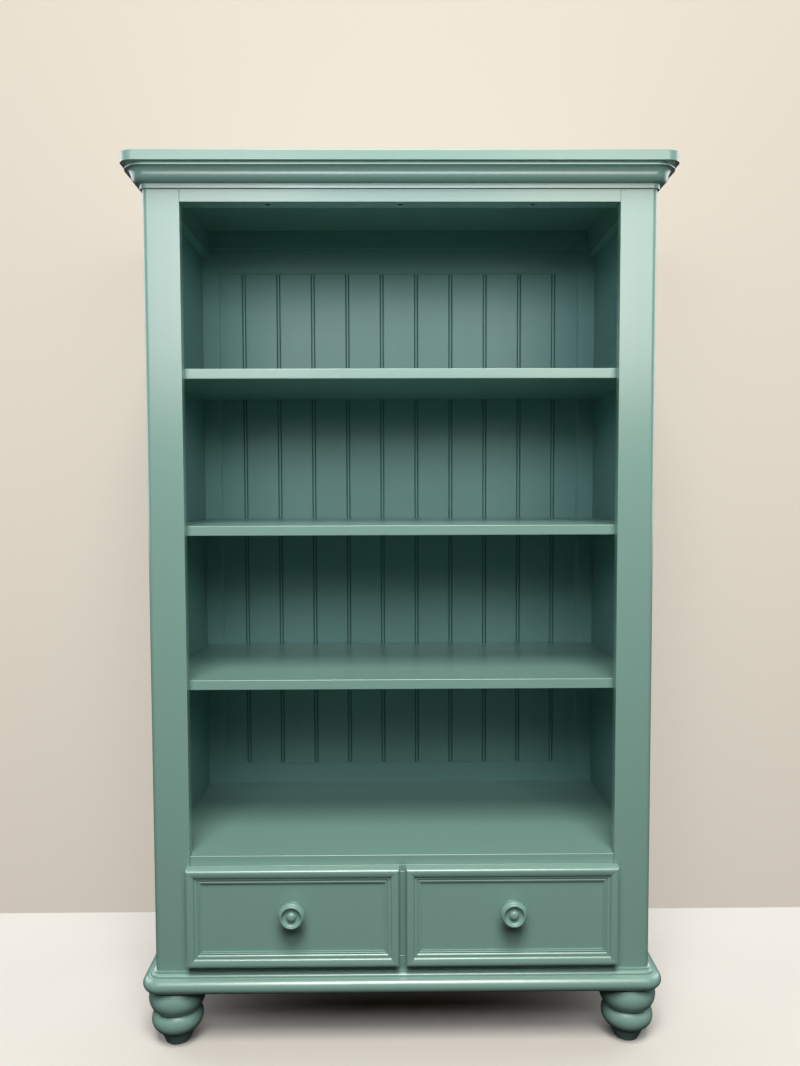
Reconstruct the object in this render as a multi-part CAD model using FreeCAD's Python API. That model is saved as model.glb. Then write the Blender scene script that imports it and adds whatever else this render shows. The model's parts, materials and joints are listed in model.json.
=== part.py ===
import FreeCAD
import Part
import math
import os

# A painted bookcase: four open bays over two drawers, a moulded crown and plinth, bun feet and
# a beaded board back. Millimetres. X runs left to right as seen from the front, Y from the face
# frame to the back, Z up from the floor. While it is built, Y = 0 is the front of the face frame;
# at the end everything moves along Y so that the origin is under the middle of the whole piece.

V = FreeCAD.Vector

# ---- Carcass
body_width = 900.0
body_depth = 406.0
total_height = 1595.0
side_thick = 20.0
board_thick = 18.0
housing_depth = 6.0
edge_arris = 1.2

# ---- Face frame
stile_width = 66.0
frame_thick = 18.0
corner_radius = 10.0
top_rail_height = 22.0
deep_rail_depth = 34.0
bottom_rail_height = 61.0
drawer_rail_height = 12.0
centre_stile_width = 24.0
tenon_length = 15.0
tenon_thick = 8.0
centre_tenon_length = 6.0

# ---- Shelves
shelf_set_back = 24.0
open_bay_height = 262.3
lowest_bay_height = 297.3

# ---- Top board and crown moulding
top_board_thick = 17.0
top_board_overhang = 32.0
top_board_corner_radius = 22.0
top_board_edge_round = 2.5
crown_height = 38.0
crown_bead_height = 7.0
crown_bead_overhang = 4.0
crown_bead_swell = 1.0
crown_step = 3.0
crown_ovolo_overhang = 18.5
crown_ovolo_height = 13.0
crown_overhang = 29.5
crown_cove_height = 11.0
crown_fillet_height = 3.0
crown_quirk_depth = 4.0
crown_curve_bulge = 2.0
cleat_thick = 19.0
side_cleat_height = 54.0
back_cleat_height = 37.0
back_cleat_thick = 11.0

# ---- Back
back_thick = 20.0
back_stile_width = 38.5
back_rail_height = 90.0
back_bevel = 4.5
back_board_thick = 9.0
back_groove_depth = 8.0
back_groove_play = 0.5
back_board_pitch = 75.6
back_board_joints = 10
bead_width = 6.5
bead_depth = 1.8
quirk_width = 1.3
board_joint_gap = 0.6
tongue_thick = 3.0
tongue_length = 5.0
tongue_play = 0.3

# ---- Base moulding and feet
base_moulding_height = 35.0
torus_radius = 13.25
torus_centre_out = 10.75
base_quirk_height = 0.8
base_quirk_depth = 2.0
base_ovolo_out = 10.0
base_ovolo_top_out = 5.5
base_ovolo_swell = 1.2
base_fillet_out = 3.5
base_fillet_height = 3.0
foot_height = 110.0
foot_inset = 32.0
rear_foot_inset = 54.0
upper_bun_radius = 51.5
upper_bun_height = 48.0
lower_bun_radius = 46.8
lower_bun_height = 38.0
foot_groove_radius = 39.0
foot_pad_radius = 40.0
foot_stub_top_radius = 33.0
foot_sole_radius = 22.0
foot_tenon_radius = 11.0
foot_tenon_length = 35.0
foot_tenon_play = 0.2
foot_block_size = 60.0

# ---- Drawers
drawer_opening_height = 157.0
drawer_front_gap = 12.0
drawer_front_side_lap = 5.3
drawer_front_top_lap = 11.2
drawer_front_bottom_lap = 11.2
drawer_front_thick = 19.6
drawer_front_play = 0.4
panel_face_set_back = 10.0
moulding_width = 27.0
moulding_rebate_width = 10.0
moulding_arris_radius = 4.0
moulding_flat_width = 11.5
moulding_cove_width = 4.5
moulding_cove_depth = 3.6
moulding_cove_hollow = 1.0
moulding_bead_width = 6.0
moulding_bead_drop = 2.2
moulding_bead_rise = 1.5
moulding_groove_depth = 1.2
moulding_fillet_width = 2.5
panel_play = 0.3
box_wall = 12.0
box_rear_gap = 36.4
box_side_play = 1.5
box_top_play = 8.0
box_runner_play = 0.3
box_bottom_thick = 6.0
box_bottom_rise = 8.0
box_groove_depth = 4.0
tails_per_corner = 3
tail_half_width = 17.0
tail_slope_degrees = 9.0
guide_height = 30.0

# ---- Knobs
knob_rise = 13.15
knob_length = 32.0
knob_collar_radius = 14.6
knob_collar_thick = 4.0
knob_collar_chamfer = 1.0
knob_neck_radius = 14.5
knob_waist_hollow = 3.2
knob_neck_to_head = 8.0
knob_head_radius = 24.0
knob_head_swell = 2.2
knob_head_to_groove = 4.9
knob_head_edge_swell = 0.7
knob_groove_radius = 20.6
knob_ring_thick = 4.6
knob_ring_swell = 0.6
knob_rim_radius = 19.4
knob_dish_radius = 8.8
knob_dish_depth = 5.8
knob_button_radius = 7.6
knob_button_set_back = 0.4
knob_spigot_radius = 6.0
knob_spigot_play = 0.2

# ---- Screws up through the top rail
rail_screw_spacing = 233.0
rail_screw_length = 45.0
rail_screw_radius = 2.0
rail_screw_head_radius = 4.0
rail_screw_head_thick = 2.5
rail_screw_recess = 5.0
rail_screw_play = 0.25

# ---- Turned pieces: how many short cones stand for each arc of their outline
cones_per_arc = 4

# ---- Levels and faces worked out from the sizes above
half_width = body_width / 2
inner_half = half_width - side_thick
housed_half = inner_half + housing_depth
opening_half = half_width - stile_width
corner_x = half_width - corner_radius
top_level = total_height - top_board_thick
crown_bottom = top_level - crown_height
top_rail_bottom = crown_bottom - top_rail_height
drawer_floor_top = foot_height + bottom_rail_height
drawer_floor_bottom = drawer_floor_top - board_thick
drawer_opening_top = drawer_floor_top + drawer_opening_height
bay_floor_bottom = drawer_opening_top + drawer_rail_height
bay_floor_top = bay_floor_bottom + board_thick
shelf_rise = open_bay_height + board_thick
lower_shelf_top = bay_floor_top + lowest_bay_height + board_thick
back_face = body_depth - back_thick
board_face = back_face + back_bevel
centre_half = centre_stile_width / 2


def box(x0, x1, y0, y1, z0, z1):
    return Part.makeBox(x1 - x0, y1 - y0, z1 - z0, V(x0, y0, z0))


def mirrored(shape):
    return shape.mirror(V(0, 0, 0), V(1, 0, 0))


def joined(first, *others):
    return first.fuse(list(others)).removeSplitter()


def section(place, start, *steps):
    """A closed face. Each step is a point, or a pair of points for an arc through the first."""
    edges = []
    here = place(*start)
    for step in steps + (start,):
        if isinstance(step[0], tuple):
            middle = place(*step[0])
            end = place(*step[1])
            edges.append(Part.Arc(here, middle, end).toShape())
        else:
            end = place(*step)
            edges.append(Part.makeLine(here, end))
        here = end
    return Part.Face(Part.Wire(edges))


def turned_section(place, start, *steps):
    """The same for a turned piece, with each arc cut into short cones, which take far fewer facets."""
    points = [place(*start)]
    for step in steps:
        if isinstance(step[0], tuple):
            arc = Part.Arc(points[-1], place(*step[0]), place(*step[1])).toShape()
            points += arc.discretize(cones_per_arc + 1)[1:]
        else:
            points.append(place(*step))
    return Part.Face(Part.makePolygon(points + points[:1]))


def bulged(start, end, bulge):
    """The middle point of an arc from start to end that stands off its chord by bulge."""
    run = (end[0] - start[0], end[1] - start[1])
    length = math.hypot(*run)
    middle = ((start[0] + end[0]) / 2, (start[1] + end[1]) / 2)
    return (middle[0] + bulge * run[1] / length, middle[1] - bulge * run[0] / length)


def domed(edge, top):
    """The middle point of an arc from an edge to a top on the turning axis, level at the top."""
    rise = top[1] - edge[1]
    radius = (edge[0] ** 2 + rise ** 2) / (2 * rise)
    half_angle = math.asin(edge[0] / radius) / 2
    return (radius * math.sin(half_angle), top[1] - radius + radius * math.cos(half_angle))


pieces = {}


def add_pair(name, right_piece):
    pieces[name + "_right"] = right_piece
    pieces[name + "_left"] = mirrored(right_piece)


# ---- Shelves and floors

def shelf(top):
    blank = box(-housed_half, housed_half, shelf_set_back, back_face, top - board_thick, top)
    front_edges = [e for e in blank.Edges
                   if abs(e.BoundBox.YMax - shelf_set_back) < 0.01 and e.BoundBox.XLength > body_width / 2]
    return blank.makeFillet(edge_arris, front_edges)


def bay_floor():
    """Housed in the sides, with its front edge flush between the stiles."""
    housed = box(-housed_half, housed_half, frame_thick, back_face, bay_floor_bottom, bay_floor_top)
    nose = box(-opening_half, opening_half, 0, frame_thick, bay_floor_bottom, bay_floor_top)
    blank = joined(housed, nose)
    front_top = [e for e in blank.Edges
                 if e.BoundBox.YMax < 0.01 and e.BoundBox.ZMin > bay_floor_top - 0.01]
    return blank.makeFillet(edge_arris, front_top)


def drawer_floor():
    return box(-housed_half, housed_half, frame_thick, back_face, drawer_floor_bottom, drawer_floor_top)


# ---- Face frame

def rail(bottom, height, depth):
    """A rail between the stiles, with a stub tenon half its height at each end."""
    body = box(-opening_half, opening_half, 0, depth, bottom, bottom + height)
    tongue_front = (frame_thick - tenon_thick) / 2
    reach = opening_half + tenon_length
    tenons = box(-reach, reach, tongue_front, tongue_front + tenon_thick,
                 bottom + height / 4, bottom + height * 3 / 4)
    return joined(body, tenons)


def centre_stile():
    body = box(-centre_half, centre_half, 0, frame_thick, drawer_floor_top, drawer_opening_top)
    tongue_front = (frame_thick - tenon_thick) / 2
    tenons = box(-centre_half / 2, centre_half / 2, tongue_front, tongue_front + tenon_thick,
                 drawer_floor_top - centre_tenon_length, drawer_opening_top + centre_tenon_length)
    return joined(body, tenons)


def right_stile(rails):
    blank = box(opening_half, half_width, 0, frame_thick, foot_height, top_level)
    corner = [e for e in blank.Edges
              if e.BoundBox.XMin > half_width - 0.01 and e.BoundBox.YMax < 0.01]
    return blank.makeFillet(corner_radius, corner).cut(rails)


def rail_screw_places():
    return [V(x, deep_rail_depth / 2, top_rail_bottom)
            for x in (-rail_screw_spacing, 0, rail_screw_spacing)]


def screw_hole(place):
    """A counterbore for the head and a bore for the shank, up from the underside of the top rail."""
    counterbore = Part.makeCylinder(rail_screw_head_radius + rail_screw_play, rail_screw_recess, place)
    bore = Part.makeCylinder(rail_screw_radius + rail_screw_play,
                             rail_screw_recess + rail_screw_length, place)
    return counterbore.fuse(bore)


def rail_screw(place):
    seat = place + V(0, 0, rail_screw_recess)
    head = Part.makeCylinder(rail_screw_head_radius, rail_screw_head_thick,
                             seat - V(0, 0, rail_screw_head_thick))
    shank = Part.makeCylinder(rail_screw_radius, rail_screw_length, seat)
    return joined(head, shank)


def face_frame():
    screw_holes = [screw_hole(place) for place in rail_screw_places()]
    middle = centre_stile()
    top_rail = rail(top_rail_bottom, top_rail_height, deep_rail_depth)
    cornice_rail = rail(crown_bottom, crown_height, deep_rail_depth)
    drawer_rail = rail(drawer_opening_top, drawer_rail_height, deep_rail_depth)
    bottom_rail = rail(foot_height, bottom_rail_height, frame_thick)
    add_pair("stile", right_stile([top_rail, cornice_rail, drawer_rail, bottom_rail]))
    pieces["top_rail"] = top_rail.cut(screw_holes)
    pieces["cornice_rail"] = cornice_rail.cut(screw_holes)
    pieces["drawer_rail"] = drawer_rail.cut(middle)
    pieces["bottom_rail"] = bottom_rail.cut(middle)
    pieces["centre_stile"] = middle
    pieces["top_rail_screws"] = Part.makeCompound([rail_screw(place) for place in rail_screw_places()])


# ---- Mouldings that wrap the front and both sides

def wrap_front(profile):
    """The front length, which runs half way round each rounded corner to the mitre."""
    at_left_end = profile(lambda out, z: V(-corner_x, -out, z))
    straight = at_left_end.extrude(V(2 * corner_x, 0, 0))
    left_corner = at_left_end.revolve(V(-corner_x, corner_radius, 0), V(0, 0, -1), 45)
    return joined(straight, left_corner, mirrored(left_corner))


def wrap_right(profile):
    """The right-hand return, from the mitre on the rounded corner to the back."""
    at_corner = profile(lambda out, z: V(half_width + out, corner_radius, z))
    straight = at_corner.extrude(V(0, body_depth - corner_radius, 0))
    corner = at_corner.revolve(V(corner_x, corner_radius, 0), V(0, 0, -1), 45)
    return joined(straight, corner)


def crown_profile(place):
    """Bead, ovolo, cove and fillet, with a quirk under the top board."""
    bead_top = crown_bottom + crown_bead_height
    ovolo_start = (crown_bead_overhang + crown_step, bead_top)
    ovolo_end = (crown_ovolo_overhang, bead_top + crown_ovolo_height)
    cove_end = (crown_overhang, ovolo_end[1] + crown_cove_height)
    fillet_top = (crown_overhang, cove_end[1] + crown_fillet_height)
    quirk_bottom = (crown_overhang - crown_quirk_depth, fillet_top[1])
    bead_start = (crown_bead_overhang, crown_bottom)
    bead_end = (crown_bead_overhang, bead_top)
    return section(place, (0, crown_bottom), bead_start,
                   (bulged(bead_start, bead_end, crown_bead_swell), bead_end), ovolo_start,
                   (bulged(ovolo_start, ovolo_end, crown_curve_bulge), ovolo_end),
                   (bulged(ovolo_end, cove_end, -crown_curve_bulge), cove_end),
                   fillet_top, quirk_bottom, (quirk_bottom[0], top_level), (0, top_level))


def base_profile(place):
    """A torus, and over a quirk a small ovolo with a fillet on it."""
    centre = (torus_centre_out, foot_height + torus_radius)
    torus_side = (centre[0] + torus_radius, centre[1])
    torus_end_out = base_ovolo_out + base_quirk_depth
    torus_rise = math.sqrt(torus_radius ** 2 - (torus_end_out - centre[0]) ** 2)
    torus_end = (torus_end_out, centre[1] + torus_rise)
    ovolo_start = (base_ovolo_out, torus_end[1] + base_quirk_height)
    top = foot_height + base_moulding_height
    ovolo_end = (base_ovolo_top_out, top - base_fillet_height)
    return section(place, (0, foot_height), (centre[0], foot_height),
                   (torus_side, torus_end), (base_ovolo_out, torus_end[1]), ovolo_start,
                   (bulged(ovolo_start, ovolo_end, base_ovolo_swell), ovolo_end),
                   (base_fillet_out, ovolo_end[1]), (base_fillet_out, top), (0, top))


def top_board():
    """A board with round front corners, and its top edge rounded on the front and both sides."""
    outer_x = half_width + top_board_overhang
    blank = box(-outer_x, outer_x, -top_board_overhang, body_depth, top_level, total_height)
    corners = [e for e in blank.Edges
               if e.BoundBox.ZLength > 1 and e.BoundBox.YMax < 0.01]
    blank = blank.makeFillet(top_board_corner_radius, corners)
    top_edges = [e for e in blank.Edges
                 if e.BoundBox.ZMin > total_height - 0.01 and e.BoundBox.YMin < body_depth - 0.01]
    return blank.makeFillet(top_board_edge_round, top_edges)


def cleats():
    side_cleat = box(inner_half - cleat_thick, inner_half, deep_rail_depth, back_face,
                     top_level - side_cleat_height, top_level)
    pieces["top_side_cleats"] = Part.makeCompound([mirrored(side_cleat), side_cleat])
    between = inner_half - cleat_thick
    pieces["top_back_cleat"] = box(-between, between, back_face - back_cleat_thick, back_face,
                                   top_level - back_cleat_height, top_level)


# ---- Sides and back

def right_side_panel(housed):
    blank = box(inner_half, half_width, frame_thick, body_depth, foot_height, top_level)
    return blank.cut(housed)


def bevelled_opening(half, bottom, top):
    """The cutter for a bevel all round the front of an opening in the back frame."""
    return Part.makeWedge(-half - back_bevel, back_face, bottom - back_bevel, bottom, -half,
                          half + back_bevel, board_face, top + back_bevel, top, half)


def groove(half, bottom, top):
    """The cutter for a groove all round an opening in the back frame."""
    reach = half + back_groove_depth
    return box(-reach, reach, board_face, board_face + back_board_thick,
               bottom - back_groove_depth, top + back_groove_depth)


def back_board(left, right, first, last):
    """One beaded tongue-and-groove board, in plan: a bead and a tongue on the right-hand edge."""
    front = board_face
    back = front + back_board_thick
    tongue_front = front + (back_board_thick - tongue_thick) / 2
    tongue_back = tongue_front + tongue_thick
    outline = [(left, back)]
    if first:
        outline.append((left, front))
    else:
        slot = left + tongue_length + tongue_play
        outline.append((left, tongue_back + tongue_play))
        outline.append((slot, tongue_back + tongue_play))
        outline.append((slot, tongue_front - tongue_play))
        outline.append((left, tongue_front - tongue_play))
        outline.append((left, front + bead_depth / 2))
        outline.append((left + bead_depth / 2, front))
    if last:
        outline.append((right, front))
    else:
        edge = right - board_joint_gap
        bead_start = edge - bead_width
        outline.append((bead_start - quirk_width, front))
        outline.append((bead_start, front + bead_depth))
        outline.append(((bead_start + bead_width / 2, front), (edge, front + bead_depth)))
        outline.append((edge, tongue_front))
        outline.append((edge + tongue_length, tongue_front))
        outline.append((edge + tongue_length, tongue_back))
        outline.append((edge, tongue_back))
        right = edge
    outline.append((right, back))
    return section(lambda x, y: V(x, y, 0), *outline)


def back_boards(half, bottom, top):
    """The boards, whose beads are evenly spaced about the middle of the back."""
    reach = half + back_groove_depth - back_groove_play
    first_bead = -(back_board_joints - 1) / 2 * back_board_pitch
    bead_offset = bead_width / 2 + board_joint_gap
    joints = [first_bead + i * back_board_pitch + bead_offset for i in range(back_board_joints)]
    edges = [-reach] + joints + [reach]
    length = top - bottom + 2 * (back_groove_depth - back_groove_play)
    start = V(0, 0, bottom - back_groove_depth + back_groove_play)
    boards = []
    for i in range(len(edges) - 1):
        plan = back_board(edges[i], edges[i + 1], i == 0, i == len(edges) - 2)
        plan.translate(start)
        boards.append(plan.extrude(V(0, 0, length)))
    return Part.makeCompound(boards)


def back():
    half = inner_half - back_stile_width
    middle_rail_top = bay_floor_top + back_rail_height / 2
    middle_rail_bottom = middle_rail_top - back_rail_height
    top_rail_underside = top_level - back_rail_height
    board_groove = groove(half, middle_rail_top, top_rail_underside)
    panel_groove = groove(half, drawer_floor_top, middle_rail_bottom)
    bevel = bevelled_opening(half, middle_rail_top, top_rail_underside)
    cutters = [board_groove, panel_groove, bevel]
    stile_blank = box(half, inner_half, back_face, body_depth, foot_height, top_level)
    add_pair("back_stile", stile_blank.cut(cutters))
    levels = {"back_top_rail": (top_rail_underside, top_level),
              "back_middle_rail": (middle_rail_bottom, middle_rail_top),
              "back_bottom_rail": (foot_height, drawer_floor_top)}
    for name, (bottom, top) in levels.items():
        blank = box(-half, half, back_face, body_depth, bottom, top)
        pieces[name] = blank.cut(cutters)
    pieces["back_boards"] = back_boards(half, middle_rail_top, top_rail_underside)
    reach = half + back_groove_depth - back_groove_play
    seat = back_groove_depth - back_groove_play
    pieces["drawer_back_panel"] = box(-reach, reach, board_face, board_face + back_board_thick,
                                      drawer_floor_top - seat, middle_rail_bottom + seat)


# ---- Feet

def foot(x, y):
    """A turned foot: stub, two buns with a groove between them, and a tenon for the foot block."""
    groove_level = foot_height - upper_bun_height
    stub_level = groove_level - lower_bun_height
    outline = turned_section(lambda r, z: V(x + r, y, z),
                             (0, 0), (foot_sole_radius, 0), (foot_stub_top_radius, stub_level),
                             ((lower_bun_radius, stub_level + lower_bun_height / 2),
                              (foot_groove_radius, groove_level)),
                             ((upper_bun_radius, groove_level + upper_bun_height / 2),
                              (foot_pad_radius, foot_height)),
                             (foot_tenon_radius, foot_height),
                             (foot_tenon_radius, foot_height + foot_tenon_length),
                             (0, foot_height + foot_tenon_length))
    return outline.revolve(V(x, y, 0), V(0, 0, 1), 360)


def foot_block(front, foot_y):
    """The block over a foot, against the side panel, with the bore for the foot's tenon."""
    blank = box(inner_half - foot_block_size, inner_half, front, front + foot_block_size,
                foot_height, drawer_floor_bottom)
    bore = Part.makeCylinder(foot_tenon_radius + foot_tenon_play, foot_tenon_length + foot_tenon_play,
                             V(half_width - foot_inset, foot_y, foot_height))
    return blank.cut(bore)


def feet():
    foot_x = half_width - foot_inset
    rear_y = body_depth - rear_foot_inset
    add_pair("foot_front", foot(foot_x, foot_inset))
    add_pair("foot_rear", foot(foot_x, rear_y))
    right_blocks = [foot_block(frame_thick, foot_inset), foot_block(back_face - foot_block_size, rear_y)]
    pieces["foot_blocks"] = Part.makeCompound(right_blocks + [mirrored(b) for b in right_blocks])


# ---- Drawers: the right-hand one is built, the left-hand one is its mirror image

def moulding_section(place):
    """From the outer edge inwards: rounded arris, flat, cove, bead, groove and fillet."""
    face = -drawer_front_play - drawer_front_thick
    back_of_front = -drawer_front_play
    panel_face = face + panel_face_set_back
    cove_start = (moulding_flat_width, face)
    cove_end = (moulding_flat_width + moulding_cove_width, face + moulding_cove_depth)
    bead_end = (cove_end[0] + moulding_bead_width, cove_end[1] + moulding_bead_drop)
    groove_end = (moulding_width - moulding_fillet_width, bead_end[1] + moulding_groove_depth)
    arris_corner = moulding_arris_radius * (1 - math.sqrt(0.5))
    rebate = moulding_width - moulding_rebate_width
    return section(place, (0, back_of_front), (0, face + moulding_arris_radius),
                   ((arris_corner, face + arris_corner), (moulding_arris_radius, face)),
                   cove_start, (bulged(cove_start, cove_end, -moulding_cove_hollow), cove_end),
                   (bulged(cove_end, bead_end, moulding_bead_rise), bead_end),
                   groove_end, (groove_end[0], bead_end[1]), (moulding_width, bead_end[1]),
                   (moulding_width, panel_face), (rebate, panel_face), (rebate, back_of_front))


def mitred(piece, corners):
    """The part of a straight moulding inside a mitre outline given by its corners in X and Z."""
    points = [V(x, -drawer_front_thick * 2, z) for x, z in corners]
    outline = Part.Face(Part.makePolygon(points + points[:1]))
    return piece.common(outline.extrude(V(0, drawer_front_thick * 3, 0)))


def drawer_mouldings(x0, x1, z0, z1):
    """The four mitred lengths that frame a drawer front's panel."""
    w = moulding_width
    width = V(x1 - x0, 0, 0)
    height = V(0, 0, z1 - z0)
    top = moulding_section(lambda a, y: V(x0, y, z1 - a)).extrude(width)
    bottom = moulding_section(lambda a, y: V(x0, y, z0 + a)).extrude(width)
    inner = moulding_section(lambda a, y: V(x0 + a, y, z0)).extrude(height)
    outer = moulding_section(lambda a, y: V(x1 - a, y, z0)).extrude(height)
    inner_corners = [(x0 + w, z0 + w), (x0 + w, z1 - w), (x1 - w, z1 - w), (x1 - w, z0 + w)]
    return {"top": mitred(top, [(x0, z1), (x1, z1), inner_corners[2], inner_corners[1]]),
            "bottom": mitred(bottom, [(x0, z0), (x1, z0), inner_corners[3], inner_corners[0]]),
            "inner": mitred(inner, [(x0, z0), (x0, z1), inner_corners[1], inner_corners[0]]),
            "outer": mitred(outer, [(x1, z0), (x1, z1), inner_corners[2], inner_corners[3]])}


def knob(x, z):
    """A turned knob: collar, waist, head, groove, ring, dished face and centre button."""
    face = drawer_front_play + drawer_front_thick - panel_face_set_back
    spigot_end = -(face - drawer_front_play + box_wall)
    collar_edge = (knob_collar_radius, knob_collar_thick - knob_collar_chamfer)
    collar_top = (knob_collar_radius - knob_collar_chamfer, knob_collar_thick)
    groove = (knob_groove_radius, knob_length - knob_ring_thick)
    head = (knob_head_radius, groove[1] - knob_head_to_groove)
    neck = (knob_neck_radius, head[1] - knob_neck_to_head)
    rim = (knob_rim_radius, knob_length)
    dish_floor = (knob_dish_radius, knob_length - knob_dish_depth)
    button_edge = (knob_button_radius, dish_floor[1])
    button_top = (0, knob_length - knob_button_set_back)
    outline = turned_section(lambda r, out: V(x + r, -face - out, z),
                             (0, spigot_end), (knob_spigot_radius, spigot_end),
                             (knob_spigot_radius, 0), (knob_collar_radius, 0), collar_edge, collar_top,
                             (bulged(collar_top, neck, -knob_waist_hollow), neck),
                             (bulged(neck, head, knob_head_swell), head),
                             (bulged(head, groove, knob_head_edge_swell), groove),
                             (bulged(groove, rim, knob_ring_swell), rim), dish_floor, button_edge,
                             (domed(button_edge, button_top), button_top))
    return outline.revolve(V(x, 0, z), V(0, 1, 0), 360)


def tails(x0, x1, end, base, z0, z1):
    """The dovetails on one end of a box side, widest at the end."""
    spacing = (z1 - z0) / tails_per_corner
    narrow = tail_half_width - box_wall * math.tan(math.radians(tail_slope_degrees))
    prisms = []
    for i in range(tails_per_corner):
        middle = z0 + (i + 0.5) * spacing
        points = [V(x0, end, middle - tail_half_width), V(x0, end, middle + tail_half_width),
                  V(x0, base, middle + narrow), V(x0, base, middle - narrow)]
        face = Part.Face(Part.makePolygon(points + points[:1]))
        prisms.append(face.extrude(V(x1 - x0, 0, 0)))
    return prisms


def drawer_box(knob_hole):
    """A dovetailed box with its bottom held in grooves in all four walls."""
    x0 = centre_half + box_side_play
    x1 = opening_half - box_side_play
    y0 = -drawer_front_play
    y1 = back_face - box_rear_gap
    z0 = drawer_floor_top + box_runner_play
    z1 = drawer_opening_top - box_top_play
    front_base = y0 + box_wall
    back_base = y1 - box_wall
    reach = box_wall - box_groove_depth
    bottom = box(x0 + reach, x1 - reach, y0 + reach, y1 - reach,
                 z0 + box_bottom_rise, z0 + box_bottom_rise + box_bottom_thick)
    front = box(x0, x1, y0, front_base, z0, z1)
    rear = box(x0, x1, back_base, y1, z0, z1)
    walls = {}
    for name, left, right in (("inner", x0, x0 + box_wall), ("outer", x1 - box_wall, x1)):
        front_tails = tails(left, right, y0, front_base, z0, z1)
        rear_tails = tails(left, right, y1, back_base, z0, z1)
        plain = box(left, right, front_base, back_base, z0, z1)
        walls["side_" + name] = joined(plain, *front_tails, *rear_tails).cut(bottom)
        front = front.cut(front_tails)
        rear = rear.cut(rear_tails)
    walls["front"] = front.cut([bottom, knob_hole])
    walls["back"] = rear.cut(bottom)
    walls["bottom"] = bottom
    return walls


def drawers():
    x0 = drawer_front_gap / 2
    x1 = opening_half + drawer_front_side_lap
    z0 = drawer_floor_top - drawer_front_bottom_lap
    z1 = drawer_opening_top + drawer_front_top_lap
    back_of_front = -drawer_front_play
    panel_face = back_of_front - drawer_front_thick + panel_face_set_back
    knob_x = (x0 + x1) / 2
    knob_z = (z0 + z1) / 2 + knob_rise
    knob_hole = Part.makeCylinder(knob_spigot_radius + knob_spigot_play, body_depth,
                                  V(knob_x, -drawer_front_thick * 2, knob_z), V(0, 1, 0))
    knob_hole = knob_hole.common(box(x0, x1, -drawer_front_thick * 2, box_wall, z0, z1))
    edge = moulding_width - moulding_rebate_width + panel_play
    panel = box(x0 + edge, x1 - edge, panel_face, back_of_front, z0 + edge, z1 - edge)
    right_drawer = {"front_panel": panel.cut(knob_hole), "knob": knob(knob_x, knob_z)}
    for name, piece in drawer_mouldings(x0, x1, z0, z1).items():
        right_drawer["moulding_" + name] = piece
    for name, piece in drawer_box(knob_hole).items():
        right_drawer["box_" + name] = piece
    for name, piece in right_drawer.items():
        pieces["drawer_right_" + name] = piece
        pieces["drawer_left_" + name] = mirrored(piece)


def drawer_supports():
    """The partition between the drawers, and the guide beside each side panel."""
    partition = box(-centre_half, centre_half, frame_thick, back_face, drawer_floor_top, bay_floor_bottom)
    pieces["drawer_partition"] = partition.cut(pieces["drawer_rail"])
    guide = box(opening_half, inner_half, frame_thick, back_face,
                drawer_floor_top, drawer_floor_top + guide_height)
    pieces["drawer_guides"] = Part.makeCompound([mirrored(guide), guide])


# ---- Put it together

face_frame()
shelf_tops = {"shelf_lower": lower_shelf_top,
              "shelf_middle": lower_shelf_top + shelf_rise,
              "shelf_upper": lower_shelf_top + 2 * shelf_rise}
for name, top in shelf_tops.items():
    pieces[name] = shelf(top)
pieces["bay_floor"] = bay_floor()
pieces["drawer_floor"] = drawer_floor()
housed_boards = [pieces[name] for name in list(shelf_tops) + ["bay_floor", "drawer_floor"]]
add_pair("side_panel", right_side_panel(housed_boards))
pieces["top_board"] = top_board()
pieces["crown_front"] = wrap_front(crown_profile)
add_pair("crown", wrap_right(crown_profile))
cleats()
back()
pieces["base_moulding_front"] = wrap_front(base_profile)
add_pair("base_moulding", wrap_right(base_profile))
feet()
drawers()
drawer_supports()

knob_face = -drawer_front_play - drawer_front_thick + panel_face_set_back - knob_length
to_origin = V(0, -(knob_face + body_depth) / 2, 0)
os.makedirs("parts", exist_ok=True)
for name, shape in pieces.items():
    shape.translate(to_origin)
    shape.exportStep("parts/" + name + ".step")
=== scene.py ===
import json
import math

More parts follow.
